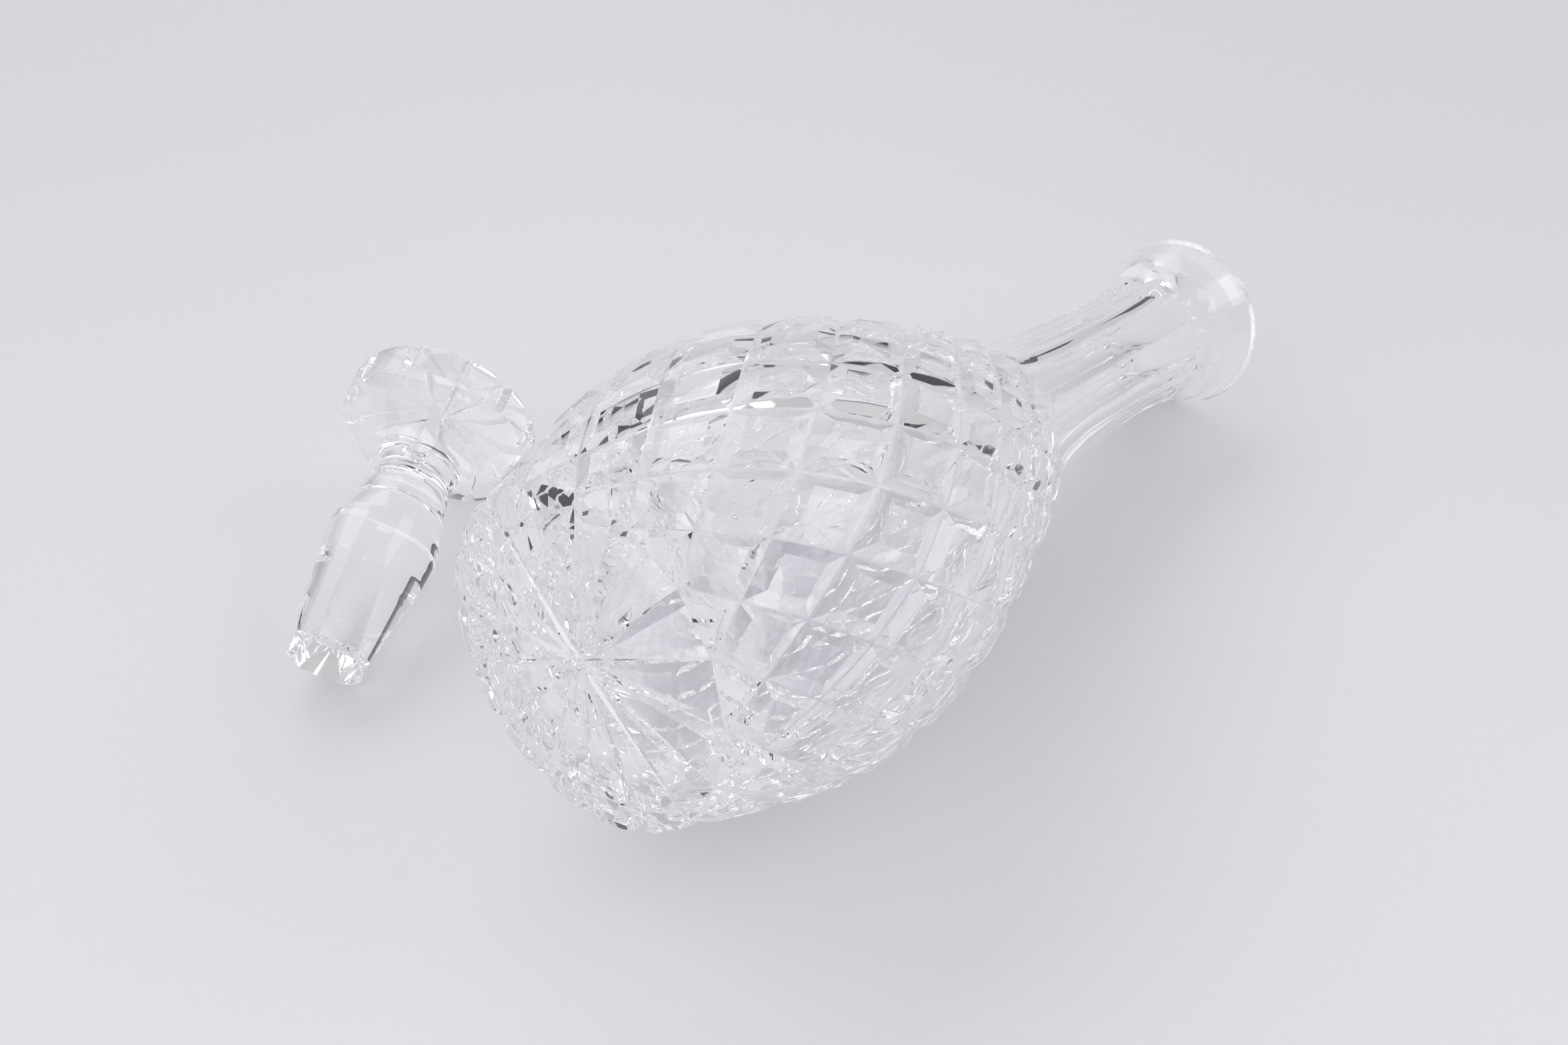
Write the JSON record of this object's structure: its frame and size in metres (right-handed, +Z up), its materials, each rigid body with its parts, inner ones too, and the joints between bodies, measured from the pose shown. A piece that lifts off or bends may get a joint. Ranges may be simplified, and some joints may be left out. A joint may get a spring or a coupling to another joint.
{
  "type": "decanter",
  "caption": "Diamond-cut clear crystal decanter with a fluted neck and star-cut foot, lying on its side beside its mushroom-headed stopper.",
  "frame": {"origin": "centre of the assembly's bounding box, on the surface that it lies on", "axes": "+X runs level along the bottle from its foot towards its mouth, +Z is up, and the stopper lies on the +Y side"},
  "size_m": [0.2908, 0.2276, 0.1177],
  "materials": {
    "bottle_crystal": "polished clear cut crystal",
    "stopper_crystal": "polished clear crystal"
  },
  "bodies": {
    "bottle": {"bottle": "bottle_crystal"},
    "stopper": {"stopper": "stopper_crystal"}
  },
  "joints": [
    {"name": "stopper_lift", "type": "slide", "parent": "bottle", "child": "stopper", "axis": [0, 0, 1], "range_m": [0, 0.15]}
  ]
}
